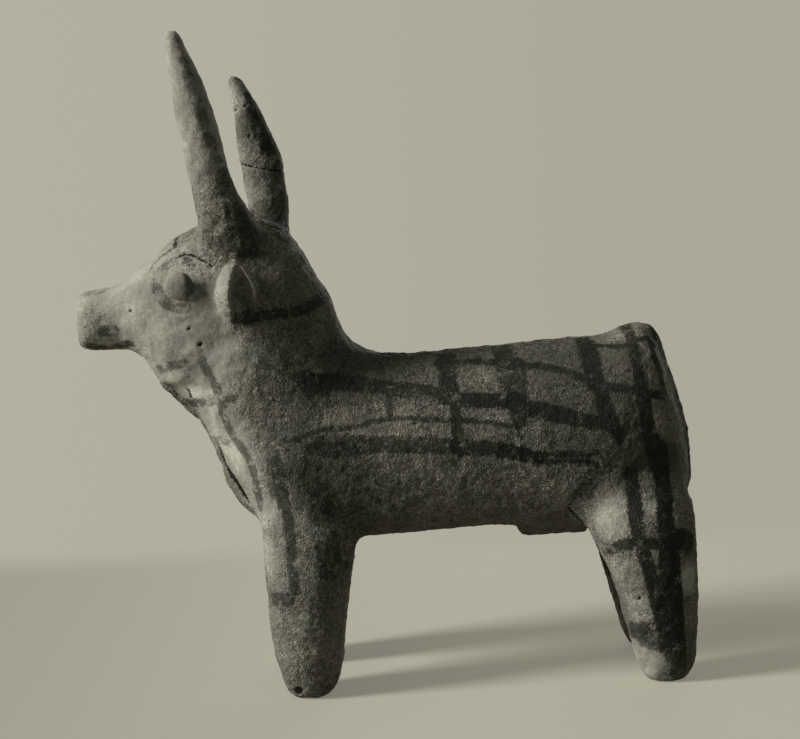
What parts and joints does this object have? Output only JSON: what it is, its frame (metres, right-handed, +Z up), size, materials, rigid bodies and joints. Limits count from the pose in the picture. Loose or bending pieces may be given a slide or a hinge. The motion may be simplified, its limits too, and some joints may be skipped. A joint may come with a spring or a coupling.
{
  "type": "terracotta bull figurine",
  "caption": "Hand-built standing bull in fired clay: hollow barrel body, coped neck, blunt muzzle, upright horns, cupped ears, stub legs, applied tail and dewlap, dark painted bands.",
  "frame": {"origin": "middle of the figurine's box, on the ground under the four soles", "axes": "+Z up, head towards -X and tail towards +X, the bull's left flank towards -Y"},
  "size_m": [0.2716, 0.0842, 0.296],
  "materials": {
    "banded_clay": "gritty matt fired clay with a buff slip and dark painted bands, worn and pitted",
    "slipped_clay": "matt buff slip, smoother and paler, with worn dark paint",
    "dark_clay": "matt fired clay under dark paint"
  },
  "bodies": {
    "root": {"body_barrel": "banded_clay", "rump_cap": "banded_clay", "neck": "banded_clay", "head": "slipped_clay", "horn_left": "slipped_clay", "horn_right_root": "slipped_clay", "horn_right_tip": "slipped_clay", "ear_left": "slipped_clay", "ear_right": "slipped_clay", "eye_left": "slipped_clay", "eye_right": "slipped_clay", "leg_front_left": "banded_clay", "leg_front_right": "banded_clay", "leg_hind_left": "banded_clay", "leg_hind_right": "banded_clay", "tail": "dark_clay", "dewlap_upper": "slipped_clay", "dewlap_lower": "banded_clay", "sheath": "banded_clay"}
  },
  "joints": []
}
